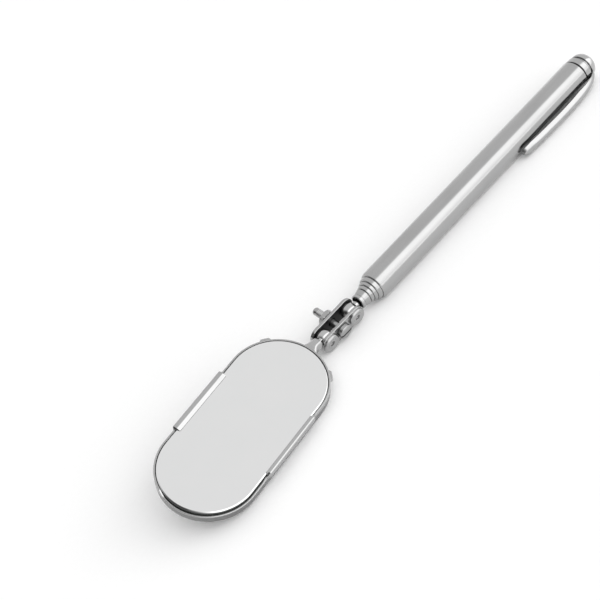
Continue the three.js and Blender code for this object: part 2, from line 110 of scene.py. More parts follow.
BALL_SPACING = 8.8
PLATE_THICKNESS = 0.75
PLATE_INNER = 1.4
PLATE_END = 2.55
LEFT_WAIST = 2.45
RIGHT_WAIST = 2.5
PLATE_CHAMFER = 0.1
RIGHT_CUP = (2.3, 0.75)
LEFT_CUP = (1.7, 0.35)
CUP_HOLE = 0.65
SOCKET_CLEARANCE = 0.05
SCREW_X = -BALL_SPACING / 2 - 0.15
SCREW_RADIUS = 1.0
THREAD_PITCH = 0.4
THREAD_DEPTH = 0.09
SCREW_TIP = 7.2
SCREW_DOME = 0.8
HEAD_RADIUS = 1.85
HEAD_HEIGHT = 1.35
SLOT_WIDTH = 0.5
SLOT_DEPTH = 0.6
NUT_FLATS = 4.0
NUT_THICKNESS = 1.2
NUT_CHAMFER = 0.28
LOCK_WASHER = 0.3
HARDWARE_GAP = 0.05
NUT_START = PLATE_INNER + PLATE_THICKNESS + LOCK_WASHER + 2 * HARDWARE_GAP

GLASS_RADIUS = 11.55
GLASS_STRAIGHT = 13.2
GLASS_THICKNESS = 1.8
GLASS_BEVEL = 0.22
GLASS_BACK_BEVEL = 0.15
TRAY_GAP = 0.15
TRAY_WALL = 0.4
TRAY_DEPTH = 3.3
RIM_DROP = 0.15
LOW_RIM_DROP = 1.0
LOW_RIM_FROM = 14.1
LOW_RIM_ANGLE = 43
FLANGE_BULGE = 0.55
FLANGE_EASE = 0.55
TRAY_FLOOR = 0.4
FLOOR_INSET = 2.5
LEFT_FLANGE = (-9.75, 8.9, 2.1)
RIGHT_FLANGE = (-8.1, 10.4, 1.3)
FLANGE_TOP = 0.45
MIRROR_REACH = 31.83
GLASS_LIFT = 4.27
GLASS_ASIDE = 0.55
NECK_START = 3.1
NECK_RADIUS = 1.55
NECK_ROOT = 2.6
NECK_HEIGHT = 2.2
NECK_BORE = 1.03
NECK_BORE_DEPTH = 2.8
LUG_ANGLE = 47
LUG_SPAN = 13
LUG_REACH = 0.55
LUG_ROOT = 0.3

MIRROR_YAW = 6.9
MIRROR_PITCH = 5.2
TOOL_ROLL = 25.0

FINE = 96

# ------------------------------------------------------------------ camera and light

CAMERA_PLACE = (-162.06, -145.79, 332.88)
CAMERA_RIGHT = (0.6459, -0.76021, -0.07001)
CAMERA_DOWN = (-0.66515, -0.51538, -0.54033)
CAMERA_FORWARD = (0.37468, 0.39557, -0.83853)
LENS = 101.2
SENSOR = 36.0

# light level against the angle about X, in degrees from the horizon on the +Y side
SOFTBOX = 2.2
STUDIO_LEVELS = (
    (0, 0.92),
    (104, 0.92),
    (113, 1.0),
    (119, 1.9),
    (123, SOFTBOX),
    (146, SOFTBOX),
    (169, 1.67),
    (180, 1.3),
)
DARK_END = (-0.8, -0.3)
DARK_LEVEL = 0.08

# ------------------------------------------------------------------ frames


def axes_matrix(origin, x_axis, y_axis):
    """A frame from its origin and two directions, the second made square to the first."""
    x = Vector(x_axis).normalized()
    z = x.cross(Vector(y_axis)).normalized()
    y = z.cross(x)
    turn = Matrix((x, y, z)).transposed().to_4x4()
    return Matrix.Translation(origin) @ turn @ Matrix.Scale(MM, 4)


def joint(name):
    return next(j for j in frame["joints"] if j["name"] == name)


def tool_frame():
    low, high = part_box("handle_tube")
    origin = Vector((low.x, (low.y + high.y) / 2, (low.z + high.z) / 2))
    roll = Matrix.Rotation(math.radians(TOOL_ROLL), 4, "X")
    return Matrix.Translation(origin) @ roll @ Matrix.Scale(MM, 4)


def link_frame():
    """Origin in the shaft ball, -X to the mirror ball, Y along the clamp screw to its tip."""
    start = Vector(joint("link_swing")["pos_m"])
    end = Vector(joint("mirror_swing")["pos_m"])
    return axes_matrix(start, start - end, joint("link_swing")["axis"])


def head_frame():
    """Origin in the mirror ball, X and Y along and across the mirror, Z square to the glass."""
    tilt = Euler((0, math.radians(MIRROR_PITCH), math.radians(MIRROR_YAW)), "XYZ").to_matrix().to_4x4()
    turn = Matrix.Rotation(math.radians(TOOL_ROLL), 4, "X") @ tilt
    return Matrix.Translation(Vector(joint("mirror_swing")["pos_m"])) @ turn @ Matrix.Scale(MM, 4)


TOOL = tool_frame()
LINK = link_frame()
HEAD = head_frame()
GLASS = HEAD @ Matrix.Translation((-MIRROR_REACH, GLASS_ASIDE, GLASS_LIFT))
TRAY_OUTER = GLASS_RADIUS + TRAY_GAP + TRAY_WALL
NECK_SPAN = MIRROR_REACH - GLASS_STRAIGHT - TRAY_OUTER
NECK_SLOPE = math.atan2(NECK_HEIGHT, NECK_SPAN)
NECK_LENGTH = math.hypot(NECK_HEIGHT, NECK_SPAN)
STEM = HEAD @ Matrix.Rotation(NECK_SLOPE, 4, "Y")
SHAFT_BALL = TOOL @ Matrix.Translation(TOOL.inverted() @ Vector(joint("link_swing")["pos_m"]))
MIRROR_BALL = STEM @ Matrix.Rotation(math.pi, 4, "Z")

# ------------------------------------------------------------------ materials


class Look:
    """A node material under construction, with short calls for the nodes it uses."""

    def __init__(self, name):
        self.material = bpy.data.materials.new(name)
        self.material.use_nodes = True
        self.nodes = self.material.node_tree.nodes
        self.links = self.material.node_tree.links
        self.shader = self.nodes["Principled BSDF"]
        self.coords = self.nodes.new("ShaderNodeTexCoord").outputs["Object"]

    def set(self, **values):
        for name, value in values.items():
            self.shader.inputs[name.replace("_", " ")].default_value = value
        return self

    def mapped(self, scale, matrix=None):
        """Object coordinates in the given frame's millimetres, stretched by scale."""
        source = self.coords
        if matrix is not None:
            turn = self.nodes.new("ShaderNodeMapping")
            inverse = matrix.inverted()
            turn.inputs["Location"].default_value = inverse.to_translation()
            turn.inputs["Rotation"].default_value = inverse.to_euler()
            turn.inputs["Scale"].default_value = inverse.to_scale()
            self.links.new(source, turn.inputs["Vector"])
            source = turn.outputs["Vector"]
        stretch = self.nodes.new("ShaderNodeMapping")
        stretch.inputs["Scale"].default_value = scale
        self.links.new(source, stretch.inputs["Vector"])
        return stretch.outputs["Vector"]

    def noise(self, vector, scale=1.0, detail=3.0, roughness=0.55):
        node = self.nodes.new("ShaderNodeTexNoise")
        node.inputs["Scale"].default_value = scale
        node.inputs["Detail"].default_value = detail
        node.inputs["Roughness"].default_value = roughness
        self.links.new(vector, node.inputs["Vector"])
        return node.outputs["Fac"]

    def spread(self, value, low, high):
        """A 0 to 1 texture value turned into the range low to high."""
        node = self.nodes.new("ShaderNodeMapRange")
        node.inputs["From Min"].default_value = 0.25
        node.inputs["From Max"].default_value = 0.75
        node.inputs["To Min"].default_value = low
        node.inputs["To Max"].default_value = high
        self.links.new(value, node.inputs["Value"])
        return node.outputs["Result"]

    def colour(self, value, low, high):
        node = self.nodes.new("ShaderNodeMix")
        node.data_type = "RGBA"
        node.inputs["A"].default_value = (*low, 1)
        node.inputs["B"].default_value = (*high, 1)
        self.links.new(self.spread(value, 0, 1), node.inputs["Factor"])
        self.links.new(node.outputs["Result"], self.shader.inputs["Base Color"])

    def rough(self, value, low, high):
        self.links.new(self.spread(value, low, high), self.shader.inputs["Roughness"])

    def bump(self, height, distance):
        node = self.nodes.new("ShaderNodeBump")
        node.inputs["Strength"].default_value = 1.0
        node.inputs["Distance"].default_value = distance * MM
        self.links.new(height, node.inputs["Height"])
        self.links.new(node.outputs["Normal"], self.shader.inputs["Normal"])


def drawn_steel(name, matrix, grey, roughness, grain, depth):
    """Steel with fine marks along or round the frame's X, by the grain's stretch."""
    look = Look(name).set(Metallic=1.0)
    marks = look.noise(look.mapped(grain, matrix), detail=4)
    clouds = look.noise(look.mapped((0.09, 0.3, 0.3), matrix), detail=2)
    look.colour(clouds, (grey * 0.95,) * 3, (grey * 1.03,) * 3)
    look.rough(marks, roughness * 0.82, roughness * 1.2)
    look.bump(marks, depth)
    return look.material


ALONG = (0.35, 9.0, 9.0)
ROUND = (14.0, 0.8, 0.8)
EVEN = (5.0, 5.0, 5.0)

tube_steel = drawn_steel("drawn_tube_steel", TOOL, 0.42, 0.17, ALONG, 0.0008)
turned_steel = drawn_steel("turned_steel", TOOL, 0.45, 0.18, ROUND, 0.001)
polished_steel = drawn_steel("polished_cap_steel", TOOL, 0.5, 0.12, ROUND, 0.0004)
clip_steel = drawn_steel("clip_spring_steel", TOOL, 0.44, 0.2, ALONG, 0.0006)
ball_steel = drawn_steel("ball_steel", TOOL, 0.5, 0.1, EVEN, 0.0004)
plate_steel = drawn_steel("pressed_plate_steel", LINK, 0.42, 0.2, EVEN, 0.0015)
screw_steel = drawn_steel("screw_steel", LINK, 0.4, 0.24, EVEN, 0.002)
tray_steel = drawn_steel("pressed_tray_steel", HEAD, 0.45, 0.18, (0.6, 2.0, 6.0), 0.001)
# The tray's outer wall: the same pressed steel painted darker (0.24 against 0.45) as painted shade
shaded_tray_wall_steel = drawn_steel("tray_wall_painted_shade", HEAD, 0.24, 0.32, (5.0, 5.0, 1.2), 0.006)
# The plates' facing inner sides: near black, painted shade between the plates
plate_inside_painted_shade = drawn_steel("plate_inner_face_painted_shade", LINK, 0.09, 0.4, EVEN, 0.004)
# Near-black steel: the dark cap washer, and painted shade in the tip ring's recess
dark_steel = drawn_steel("dark_washer_and_painted_recess_shade", TOOL, 0.05, 0.35, ROUND, 0.001)


def mirror_material():
    look = Look("silvered_glass").set(Metallic=1.0, IOR=1.52)
    haze = look.noise(look.mapped((0.12, 0.12, 0.12), HEAD), detail=2)
    wipe = look.noise(look.mapped((0.5, 3.0, 1.0), HEAD), detail=4)
    look.colour(haze, (0.775, 0.78, 0.78), (0.79, 0.79, 0.79))
    look.rough(wipe, 0.02, 0.045)
    return look.material


def glass_edge_material():
    look = Look("dark_glass_edge").set(Metallic=0.0, IOR=1.52)
    grain = look.noise(look.mapped((4, 4, 4), HEAD), detail=4)
    look.colour(grain, (0.015, 0.017, 0.016), (0.05, 0.055, 0.052))
    look.rough(grain, 0.18, 0.34)
    look.bump(grain, 0.003)
    return look.material


mirror_silver = mirror_material()
glass_edge = glass_edge_material()

# ------------------------------------------------------------------ mesh helpers


def finish_mesh(name, bm, matrix, body, material, replaces=(), slot=None, sharp=32, bevel=0.0):
    """Turns a bmesh in a local frame's millimetres into a shaded piece that rides on a CAD body."""
    bmesh.ops.remove_doubles(bm, verts=bm.verts, dist=1e-5)
    bmesh.ops.recalc_face_normals(bm, faces=bm.faces)
    mesh = bpy.data.meshes.new(name)
    bm.to_mesh(mesh)
    bm.free()
    mesh.transform(matrix)
    mesh.shade_smooth()
    mesh.set_sharp_from_angle(angle=math.radians(sharp))
    piece = bpy.data.objects.new(name, mesh)
    bpy.context.scene.collection.objects.link(piece)
    for item in material if isinstance(material, (list, tuple)) else [material]:
        mesh.materials.append(item)
    if bevel:
        edge = piece.modifiers.new("worn_edges", "BEVEL")
        edge.width = bevel * MM
        edge.segments = 3
        edge.limit_method = "ANGLE"
        edge.angle_limit = math.radians(35)
        edge.harden_normals = True
    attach(piece, body)
    if replaces:
        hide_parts(*replaces)
    return piece


def sweep(bm, rings, close_rings=True, cap=False):
    """Joins rings of points into a skin; every ring has the same number of points."""
    made = [[bm.verts.new(point) for point in ring] for ring in rings]
    pairs = list(zip(made, made[1:]))
    if close_rings:
        pairs.append((made[-1], made[0]))
    for near, far in pairs:
        for i in range(len(near)):
            j = (i + 1) % len(near)
            bm.faces.new((near[i], near[j], far[j], far[i]))
    if cap:
        bm.faces.new(made[0])
        bm.faces.new(list(reversed(made[-1])))
    return made


def rounded(points, radius, steps=3):
    """A closed profile with each corner rounded over at most a third of its shorter side."""
    result = []
    count = len(points)
    for i, point in enumerate(points):
        here = Vector(point)
        before = Vector(points[i - 1]) - here
        after = Vector(points[(i + 1) % count]) - here
        if before.length < 1e-6 or after.length < 1e-6 or before.angle(after) > math.radians(172):
            result.append(here)
            continue
        reach = min(radius, before.length / 3, after.length / 3)
        a = here + before.normalized() * reach
        b = here + after.normalized() * reach
        for step in range(steps + 1):
            t = step / steps
            result.append(a * (1 - t) ** 2 + here * 2 * t * (1 - t) + b * t**2)
    return result


def turned(profile, radius=0.08, segments=FINE):
    """A closed ring profile of (x, radius) points turned about X, its corners rounded."""
    bm = bmesh.new()
    outline = rounded(profile, radius)
    rings = []
    for i in range(segments):
        angle = 2 * math.pi * i / segments
        rings.append([(p.x, p.y * math.cos(angle), p.y * math.sin(angle)) for p in outline])
    sweep(bm, rings)
    return bm


def turned_solid(profile, radius=0.08, segments=FINE):
    """A solid turned about X: profile runs from the axis at one end to the axis at the other."""
    # the two points on the axis are the poles, so the rings leave them out
    off_axis = [p for p in rounded(profile, radius) if p.y > 1e-4]
    bm = bmesh.new()
    angles = [2 * math.pi * i / segments for i in range(segments)]
    first = bm.verts.new((profile[0][0], 0, 0))
    last = bm.verts.new((profile[-1][0], 0, 0))
    rings = []
    for p in off_axis:
        rings.append([bm.verts.new((p.x, p.y * math.cos(a), p.y * math.sin(a))) for a in angles])
    for near, far in zip(rings, rings[1:]):
        for i in range(segments):
            j = (i + 1) % segments
            bm.faces.new((near[i], near[j], far[j], far[i]))
    for i in range(segments):
        j = (i + 1) % segments
        bm.faces.new((first, rings[0][j], rings[0][i]))
        bm.faces.new((last, rings[-1][i], rings[-1][j]))
    return bm


# ------------------------------------------------------------------ handle and sections


def tube_profile(front, rear, outer, inside, mouth):
    """A drawn tube with its mouth rolled in, round-lipped, to the section inside it."""
    bore = outer - WALL
    mouth_bore = inside + MOUTH_CLEARANCE if inside else bore
    lip = mouth_bore + LIP_LAND
    profile = [(front, mouth_bore)]
    steps = 14
    for i in range(steps + 1):
        t = (i / steps) ** 1.8
        rise = (1 - (1 - t) ** LIP_ROUND) ** (1 / LIP_ROUND)
        profile.append((front + mouth * t, lip + (outer - lip) * rise))
    profile += [(rear, outer), (rear, bore), (front + mouth, bore), (front + mouth * 0.5, mouth_bore)]
    return profile


def make_tubes():
    radii = (HANDLE_RADIUS, *SECTION_RADII)
    fronts = (0.0, *SECTION_FRONTS)
    rears = (HANDLE_LENGTH, *SECTION_REARS)
    for i, (outer, front, rear) in enumerate(zip(radii, fronts, rears)):
        inside = radii[i + 1] if i + 1 < len(radii) else None
        mouth = SECTION_MOUTH if i else HANDLE_MOUTH
        node = f"section_tube_{i + 1}" if i else "handle_tube"
        body = f"section_{i + 1}" if i else "handle"
        bm = turned(tube_profile(front, rear, outer, inside, mouth), radius=0.02, segments=128)
        finish_mesh(f"{node}_fine", bm, TOOL, body, tube_steel, (node,), "brushed_steel", sharp=40)


def make_ferrule():
    front = SECTION_FRONTS[-1] - FERRULE_LENGTH
    base = SECTION_FRONTS[-1] - 0.06
    spigot = SECTION_RADII[-1] - WALL - 0.03
    cone = [
        (front, PIN_HOLE),
        (front, FERRULE_TIP),
        (front + 0.12, FERRULE_TIP + 0.02),
        (base - 0.1, FERRULE_BASE),
        (base, FERRULE_BASE - 0.05),
        (base, spigot),
        (base + SPIGOT_LENGTH, spigot),
        (base + SPIGOT_LENGTH, PIN_HOLE),
    ]
    bm = turned(cone, 0.04)
    finish_mesh("tip_ferrule_fine", bm, TOOL, "section_5", tube_steel, ("tip_ferrule",), "brushed_steel")


def make_tip_ring():
    """The ring the ball's pin comes out of, with painted shade on its recessed face."""
    outer = FERRULE_TIP + 0.05
    face = RING_X - RING_LENGTH
    lip = [
        (face, outer - RING_WALL),
        (face, outer - 0.1),
        (face + 0.14, outer),
        (RING_X, outer),
        (RING_X, PIN_HOLE),
        (face + RING_RECESS, PIN_HOLE),
        (face + RING_RECESS, outer - RING_WALL),
    ]
    ring = turned(lip, 0.04)
    for item in ring.faces:
        centre = item.calc_center_median()
        inside = math.hypot(centre.y, centre.z) < outer - RING_WALL + 0.02
        # faces inside the recess take the near-black steel: painted shade
        item.material_index = 1 if inside and centre.x > face + 0.05 else 0
    looks = [turned_steel, dark_steel]
    finish_mesh("tip_ring_fine", ring, TOOL, "section_5", looks, ("tip_ring",), "chrome_steel")


def ball_points(radius, stop_radius, steps=28):
    """A ball's outline from its free pole to where the pin of stop_radius leaves it."""
    last = math.pi - math.asin(stop_radius / radius)
    angles = [last * i / steps for i in range(steps + 1)]
    return [(-radius * math.cos(angle), radius * math.sin(angle)) for angle in angles]


def stud(matrix, name, body, node, end):
    """A ball at the frame's origin with its pin along +X."""
    outline = ball_points(BALL_RADIUS, PIN_RADIUS)
    outline[0] = (-BALL_RADIUS, 0)
    outline += [(end - 0.15, PIN_RADIUS), (end, PIN_RADIUS - 0.15), (end, 0)]
    bm = turned_solid(outline, 0.03, 64)
    finish_mesh(name, bm, matrix, body, ball_steel, (node,), "chrome_steel", sharp=50)


# ------------------------------------------------------------------ cap and clip


def washer_profile(start, end, outer):
    return [(start, PLUG_HOLE), (start, outer), (end, outer), (end, PLUG_HOLE)]


def make_cap_rings():
    bm = turned(washer_profile(*WASHER), 0.05)
    finish_mesh("cap_washer_fine", bm, TOOL, "handle", dark_steel, ("cap_washer",), "dark_steel")
    start, end, outer = COLLAR
    collar = [
        (start, PLUG_HOLE),
        (start, outer - 0.12),
        (start + 0.15, outer),
        (end - 0.3, outer - 0.05),
        (end, outer - 0.3),
        (end, PLUG_HOLE),
    ]
    bm = turned(collar, 0.08)
    finish_mesh("cap_collar_fine", bm, TOOL, "handle", turned_steel, ("cap_collar",), "brushed_steel")
    bm = turned(washer_profile(*CLIP_RING), 0.06)
    finish_mesh("clip_ring_fine", bm, TOOL, "handle", clip_steel, ("clip_ring",), "chrome_steel")


def make_end_cap():
    """The domed end with its plug, which goes into the handle's rear end."""
    plug_end = HANDLE_LENGTH - PLUG_LENGTH
    dome = [(plug_end, 0), (plug_end, PLUG_RADIUS - PLUG_CHAMFER)]
    dome += [(plug_end + PLUG_CHAMFER, PLUG_RADIUS), (DOME_X, PLUG_RADIUS)]
    dome += [(DOME_X, DOME_RADIUS - 0.1), (DOME_X + 0.12, DOME_RADIUS)]
    steps = 16
    for i in range(steps + 1):
        angle = i / steps * math.pi / 2
        x = DOME_X + DOME_SKIRT + (DOME_HEIGHT - DOME_SKIRT) * math.sin(angle)
        dome.append((x, DOME_RADIUS * max(math.cos(angle), 0) ** DOME_BLUNTNESS))
    dome[-1] = (dome[-1][0], 0)
    bm = turned_solid(dome, 0.06)
    finish_mesh("end_cap_fine", bm, TOOL, "handle", polished_steel, ("end_cap",), "chrome_steel", sharp=45)


def clip_crown(along):
    """Distance of the clip's crown from the handle's axis, along from its root."""
    root = CLIP_RING[2] + CLIP_ROOT_GAP + CLIP_SHOULDER + 0.1
    swell = (CLIP_CROWN - root) * (1 - math.exp(-along / CLIP_SWELL))
    fall = max(along / CLIP_REACH - 0.44, 0) / 0.56
    nose = max(along / CLIP_REACH - 0.93, 0) / 0.07
    return root + swell - 0.6 * fall**1.5 - 0.5 * nose**2


def clip_half_width(along):
    """Half the channel's width: narrower at its root, with a paddle before the round nose."""
    reach = along / CLIP_REACH
    paddle = math.exp(-(((reach - 0.93) / 0.055) ** 2))
    nose = max(reach - 0.955, 0) / 0.045
    root = 0.86 + 0.14 * min(reach / 0.12, 1)
    round_nose = math.sqrt(max(1 - 0.8 * nose**2, 0.05))
    return CLIP_WIDTH / 2 * root * (1 - 0.12 * reach + 0.24 * paddle) * round_nose


def clip_depth(depth, along):
    """How deep a point of the section lies: the walls start low at the root and end low at the nose."""
    root = min(0.1 + along / (2.5 * CLIP_SWELL), 1)
    nose = max(along / CLIP_REACH - 0.88, 0) / 0.12
    wall = max(depth - CLIP_SHOULDER, 0)
    return min(depth, CLIP_SHOULDER) + wall * root * (1 - 0.35 * nose)


def clip_section():
    """The channel's outline as (across, depth): arched crown at depth 0, walls down to CLIP_DEPTH."""
    half = CLIP_WIDTH / 2
    crown = half * CLIP_LEAN
    inner = half - CLIP_SHEET
    inner_crown = crown - CLIP_SHEET * 0.8
    steps = 16
    outside = [(-half, CLIP_DEPTH)]
    inside = [(inner, CLIP_DEPTH)]
    for i in range(steps + 1):
        across = 2 * i / steps - 1
        arch = abs(across) ** CLIP_ARCH
        outside.append((crown * across, CLIP_SHOULDER * arch))
        inner_depth = CLIP_SHEET + (CLIP_SHOULDER - CLIP_SHEET / 2) * arch
        inside.append((-inner_crown * across, inner_depth))
    outside.append((half, CLIP_DEPTH))
    inside.append((-inner, CLIP_DEPTH))
    return outside + inside


def make_clip():
    root_x = CLIP_RING[1]
    section = clip_section()
    rings = []
    steps = 90
    for i in range(steps + 1):
        along = CLIP_REACH * (i / steps) ** 1.2
        crown = clip_crown(along)
        wide = clip_half_width(along) / (CLIP_WIDTH / 2)
        ring = []
        for across, depth in section:
            ring.append((root_x - along, clip_depth(depth, along) - crown, across * wide))
        rings.append(ring)
    bm = bmesh.new()
    sweep(bm, rings, close_rings=False, cap=True)
    edges = {"sharp": 38, "bevel": 0.06}
    finish_mesh("pocket_clip_fine", bm, TOOL, "clip", clip_steel, ("pocket_clip",), "chrome_steel", **edges)


# ------------------------------------------------------------------ clamp link


def capsule_outline(end, waist, grow=0.0, arc=30):
    """The plate's outline in X and Z: two round ends joined by straight sides."""
    end += grow
    shoulder = math.asin(min((waist + grow) / end, 1))
    points = []
    for centre, start in ((0.0, -math.pi + shoulder), (-BALL_SPACING, shoulder)):
        span = 2 * math.pi - 2 * shoulder
        for i in range(arc + 1):
            angle = start + span * i / arc
            points.append((centre + end * math.cos(angle), end * math.sin(angle)))
    return points


def plate_solid(side):
    """A flat plate with chamfered edges, drawn as stacked outlines along Y."""
    waist = LEFT_WAIST if side > 0 else RIGHT_WAIST
    layers = [
        (0, -PLATE_CHAMFER),
        (PLATE_CHAMFER, 0),
        (PLATE_THICKNESS - PLATE_CHAMFER, 0),
        (PLATE_THICKNESS, -PLATE_CHAMFER),
    ]
    rings = []
    for height, grow in layers:
        y = side * (PLATE_INNER + height)
        rings.append([(x, y, z) for x, z in capsule_outline(PLATE_END, waist, grow)])
    bm = bmesh.new()
    sweep(bm, rings, close_rings=False, cap=True)
    bmesh.ops.recalc_face_normals(bm, faces=bm.faces)
    return bm


def cup_solid(side, centre_x):
    """The boss over a ball on the plate's outer face, dished, with a small hole in its middle."""
    radius, height = RIGHT_CUP if side < 0 else LEFT_CUP
    base = PLATE_INNER + PLATE_THICKNESS
    rim = radius - 0.35
    profile = [
        (base - 0.2, 0.0),
        (base - 0.2, radius),
        (base + height * 0.55, radius),
        (base + height, rim),
        (base + height, rim - 0.45),
        (base + height - 0.18, rim - 0.75),
        (base + height - 0.18, CUP_HOLE),
        (base + height - 0.6, CUP_HOLE),
        (base + height - 0.6, 0.0),
    ]
    bm = turned_solid(profile, 0.08, 64)
    turn = Matrix.Translation((centre_x, 0, 0)) @ Matrix.Rotation(side * math.pi / 2, 4, "Z")
    bmesh.ops.transform(bm, matrix=turn, verts=bm.verts)
    bmesh.ops.recalc_face_normals(bm, faces=bm.faces)
    return bm


def to_object(name, bm):
    mesh = bpy.data.meshes.new(name)
    bm.to_mesh(mesh)
    bm.free()
    tool = bpy.data.objects.new(name, mesh)
    bpy.context.scene.collection.objects.link(tool)
    return tool


def combined(name, base, joins, cuts):
    """The base bmesh with others added and taken away exactly, as a new bmesh."""
    body = to_object(name, base)
    extras = []
    for operation, solids in (("UNION", joins), ("DIFFERENCE", cuts)):
        for number, solid in enumerate(solids):
            tool = to_object(f"{name}_{operation}_{number}", solid)
            extras.append(tool)
            change = body.modifiers.new(tool.name, "BOOLEAN")
            change.operation = operation
            change.solver = "EXACT"
            change.object = tool
    depsgraph = bpy.context.evaluated_depsgraph_get()
    result = bmesh.new()
    result.from_mesh(body.evaluated_get(depsgraph).to_mesh())
    for item in (body, *extras):
        bpy.data.objects.remove(item)
    return result


def round_bar(from_y, to_y, radius, x=0.0, segments=48):
    bm = turned_solid([(from_y, 0), (from_y, radius), (to_y, radius), (to_y, 0)], 0.0, segments)
    turn = Matrix.Translation((x, 0, 0)) @ Matrix.Rotation(math.pi / 2, 4, "Z")
    bmesh.ops.transform(bm, matrix=turn, verts=bm.verts)
    bmesh.ops.recalc_face_normals(bm, faces=bm.faces)
    return bm


def round_ball(radius, x):
    bm = bmesh.new()
    bmesh.ops.create_uvsphere(bm, u_segments=48, v_segments=32, radius=radius)
    bmesh.ops.translate(bm, verts=bm.verts, vec=(x, 0, 0))
    return bm


def make_plates():
    for side, label in ((1, "left"), (-1, "right")):
        cups = [cup_solid(side, x) for x in (0.0, -BALL_SPACING)]
        holes = [round_ball(BALL_RADIUS + SOCKET_CLEARANCE, x) for x in (0.0, -BALL_SPACING)]
        holes.append(round_bar(-9, 9, SCREW_RADIUS + 0.1, SCREW_X))
        bm = combined(f"plate_{label}", plate_solid(side), cups, holes)
        for face in bm.faces:
            # faces on the plates' inner sides take the near-black copy: painted shade between the plates
            inner = abs(face.calc_center_median().y) < PLATE_INNER + 0.02
            face.material_index = 1 if inner else 0
        node = f"clamp_plate_{label}"
        looks = [plate_steel, plate_inside_painted_shade]
        finish_mesh(f"{node}_fine", bm, LINK, "link", looks, (node,), "chrome_steel", sharp=25, bevel=0.05)


def make_screw():
    """The clamp screw: slotted head outside the right plate, threaded end through the nut."""
    under = -(PLATE_INNER + PLATE_THICKNESS + HARDWARE_GAP)
    top = under - HEAD_HEIGHT
    profile = [(top + 0.05, 0), (top + 0.05, HEAD_RADIUS - 0.75), (top + 0.12, HEAD_RADIUS - 0.35)]
    profile += [(top + 0.4, HEAD_RADIUS), (under - 0.1, HEAD_RADIUS)]
    profile += [(under, HEAD_RADIUS - 0.1), (under, SCREW_RADIUS)]
    y = NUT_START - 1.2
    while y < SCREW_TIP - 1.1:
        profile += [(y, SCREW_RADIUS), (y + THREAD_PITCH / 2, SCREW_RADIUS - THREAD_DEPTH)]
        y += THREAD_PITCH
    steps = 8
    for i in range(steps + 1):
        angle = i / steps * math.pi / 2
        y = SCREW_TIP - SCREW_DOME * (1 - math.sin(angle))
        profile.append((y, SCREW_RADIUS * max(math.cos(angle), 0) ** 0.75))
    profile[-1] = (SCREW_TIP, 0)
    blank = turned_solid(profile, 0.05, 64)
    bmesh.ops.rotate(blank, verts=blank.verts, matrix=Matrix.Rotation(math.pi / 2, 3, "Z"))
    bmesh.ops.recalc_face_normals(blank, faces=blank.faces)
    slot = bmesh.new()
    bmesh.ops.create_cube(slot, size=1.0)
    bmesh.ops.scale(slot, verts=slot.verts, vec=(HEAD_RADIUS * 3, SLOT_DEPTH * 2, SLOT_WIDTH))
    bmesh.ops.translate(slot, verts=slot.verts, vec=(0, top, 0))
    bm = combined("screw", blank, [], [slot])
    place = LINK @ Matrix.Translation((SCREW_X, 0, 0))
    replaced = ("clamp_screw",)
    finish_mesh("clamp_screw_fine", bm, place, "screw", screw_steel, replaced, "plated_steel", sharp=40)


def make_nut():
    """A hexagon nut, each face's corners taken off by a cone."""
    end = NUT_START + NUT_THICKNESS
    corner = NUT_FLATS / math.sqrt(3)
    layers = [
        (NUT_START, corner - 0.25),
        (NUT_START + 0.15, corner),
        (end - NUT_CHAMFER, corner),
        (end, corner - NUT_CHAMFER),
    ]
    rings = []
    for y, radius in layers:
        ring = []
        for i in range(72):
            angle = 2 * math.pi * i / 72
            flat = NUT_FLATS / 2 / math.cos((angle % (math.pi / 3)) - math.pi / 6)
            reach = min(radius, flat)
            ring.append((reach * math.cos(angle), y, reach * math.sin(angle)))
        rings.append(ring)
    bm = bmesh.new()
    sweep(bm, rings, close_rings=False, cap=True)
    bmesh.ops.recalc_face_normals(bm, faces=bm.faces)
    bm = combined("nut", bm, [], [round_bar(NUT_START - 1, end + 1, SCREW_RADIUS + 0.06)])
    place = LINK @ Matrix.Translation((SCREW_X, 0, 0))
    edges = {"sharp": 30, "bevel": 0.03}
    finish_mesh("clamp_nut_fine", bm, place, "link", screw_steel, ("clamp_nut",), "plated_steel", **edges)


def make_lock_washer():
    """A split spring washer, its ends set a little apart."""
    start = PLATE_INNER + PLATE_THICKNESS + HARDWARE_GAP
    end = start + LOCK_WASHER
    inner = SCREW_RADIUS + 0.12
    outer = NUT_FLATS / 2 - 0.1
    gap = math.radians(12)
    profile = rounded([(inner, start), (outer, start), (outer, end), (inner, end)], 0.06)
    rings = []
    for i in range(65):
        angle = gap / 2 + (2 * math.pi - gap) * i / 64
        rings.append([(p.x * math.cos(angle), p.y, p.x * math.sin(angle)) for p in profile])
    bm = bmesh.new()
    sweep(bm, rings, close_rings=False, cap=True)
    place = LINK @ Matrix.Translation((SCREW_X, 0, 0))
    finish_mesh("lock_washer_fine", bm, place, "link", screw_steel, ("lock_washer",), "plated_steel")


# ------------------------------------------------------------------ mirror


def stadium(radius, arc=72, straight=60):
    """Points round the glass's outline grown to radius, each with its outward direction."""
    points = []
    for i in range(arc + 1):
        angle = -math.pi / 2 + math.pi * i / arc
        out = Vector((math.cos(angle), math.sin(angle)))
        points.append((Vector((GLASS_STRAIGHT, 0)), out))
    for i in range(1, straight):
        t = i / straight
        points.append((Vector((GLASS_STRAIGHT * (1 - 2 * t), 0)), Vector((0, 1))))
    for i in range(arc + 1):
        angle = math.pi / 2 + math.pi * i / arc
        out = Vector((math.cos(angle), math.sin(angle)))
        points.append((Vector((-GLASS_STRAIGHT, 0)), out))
    for i in range(1, straight):
        t = i / straight
        points.append((Vector((GLASS_STRAIGHT * (2 * t - 1), 0)), Vector((0, -1))))
    return [(centre + out * radius, out) for centre, out in points]


